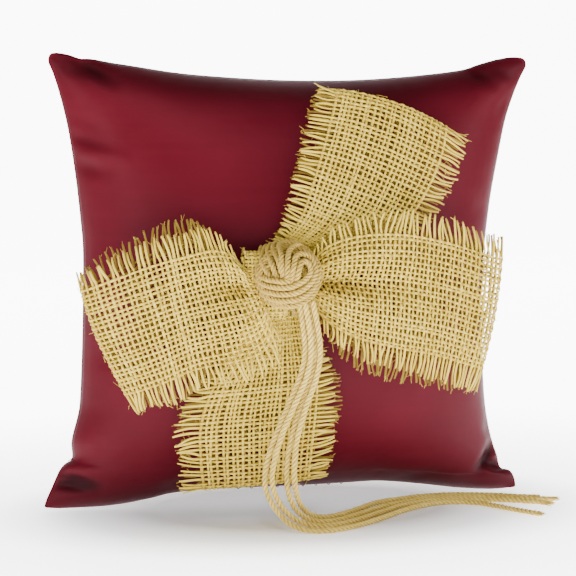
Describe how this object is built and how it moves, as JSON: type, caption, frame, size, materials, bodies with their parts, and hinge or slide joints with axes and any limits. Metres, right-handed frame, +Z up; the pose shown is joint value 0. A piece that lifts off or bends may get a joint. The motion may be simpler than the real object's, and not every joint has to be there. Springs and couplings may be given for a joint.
{
  "type": "ring bearer pillow",
  "caption": "Square stuffed satin cushion standing on its lower corners, with a frayed burlap bow, a round rope knot and loose cord tails that tie on the rings.",
  "frame": {"origin": "under the middle of the object, on the surface the cushion stands on, measured without the free cord tails", "axes": "+Z up, +X to the right seen from the front, +Y from the bow through the cushion to its back"},
  "size_m": [0.2059, 0.1078, 0.1845],
  "materials": {
    "satin": "soft sheen",
    "fibre": "matt",
    "satin_thread": "soft sheen",
    "tan_thread": "matt",
    "burlap": "matt",
    "jute": "matt"
  },
  "bodies": {
    "root": {"front_panel": "satin", "back_panel": "satin", "fibre_fill": "fibre", "seam_thread": "satin_thread", "closing_stitches": "satin_thread", "side_loops": "burlap", "upright_loops": "burlap", "gathering_thread": "tan_thread", "centre_band": "burlap", "tack_stitches": "tan_thread", "rope_knot": "jute", "cord_tail_1": "jute", "cord_tail_2": "jute", "cord_tail_3": "jute", "cord_tail_4": "jute"}
  },
  "joints": []
}
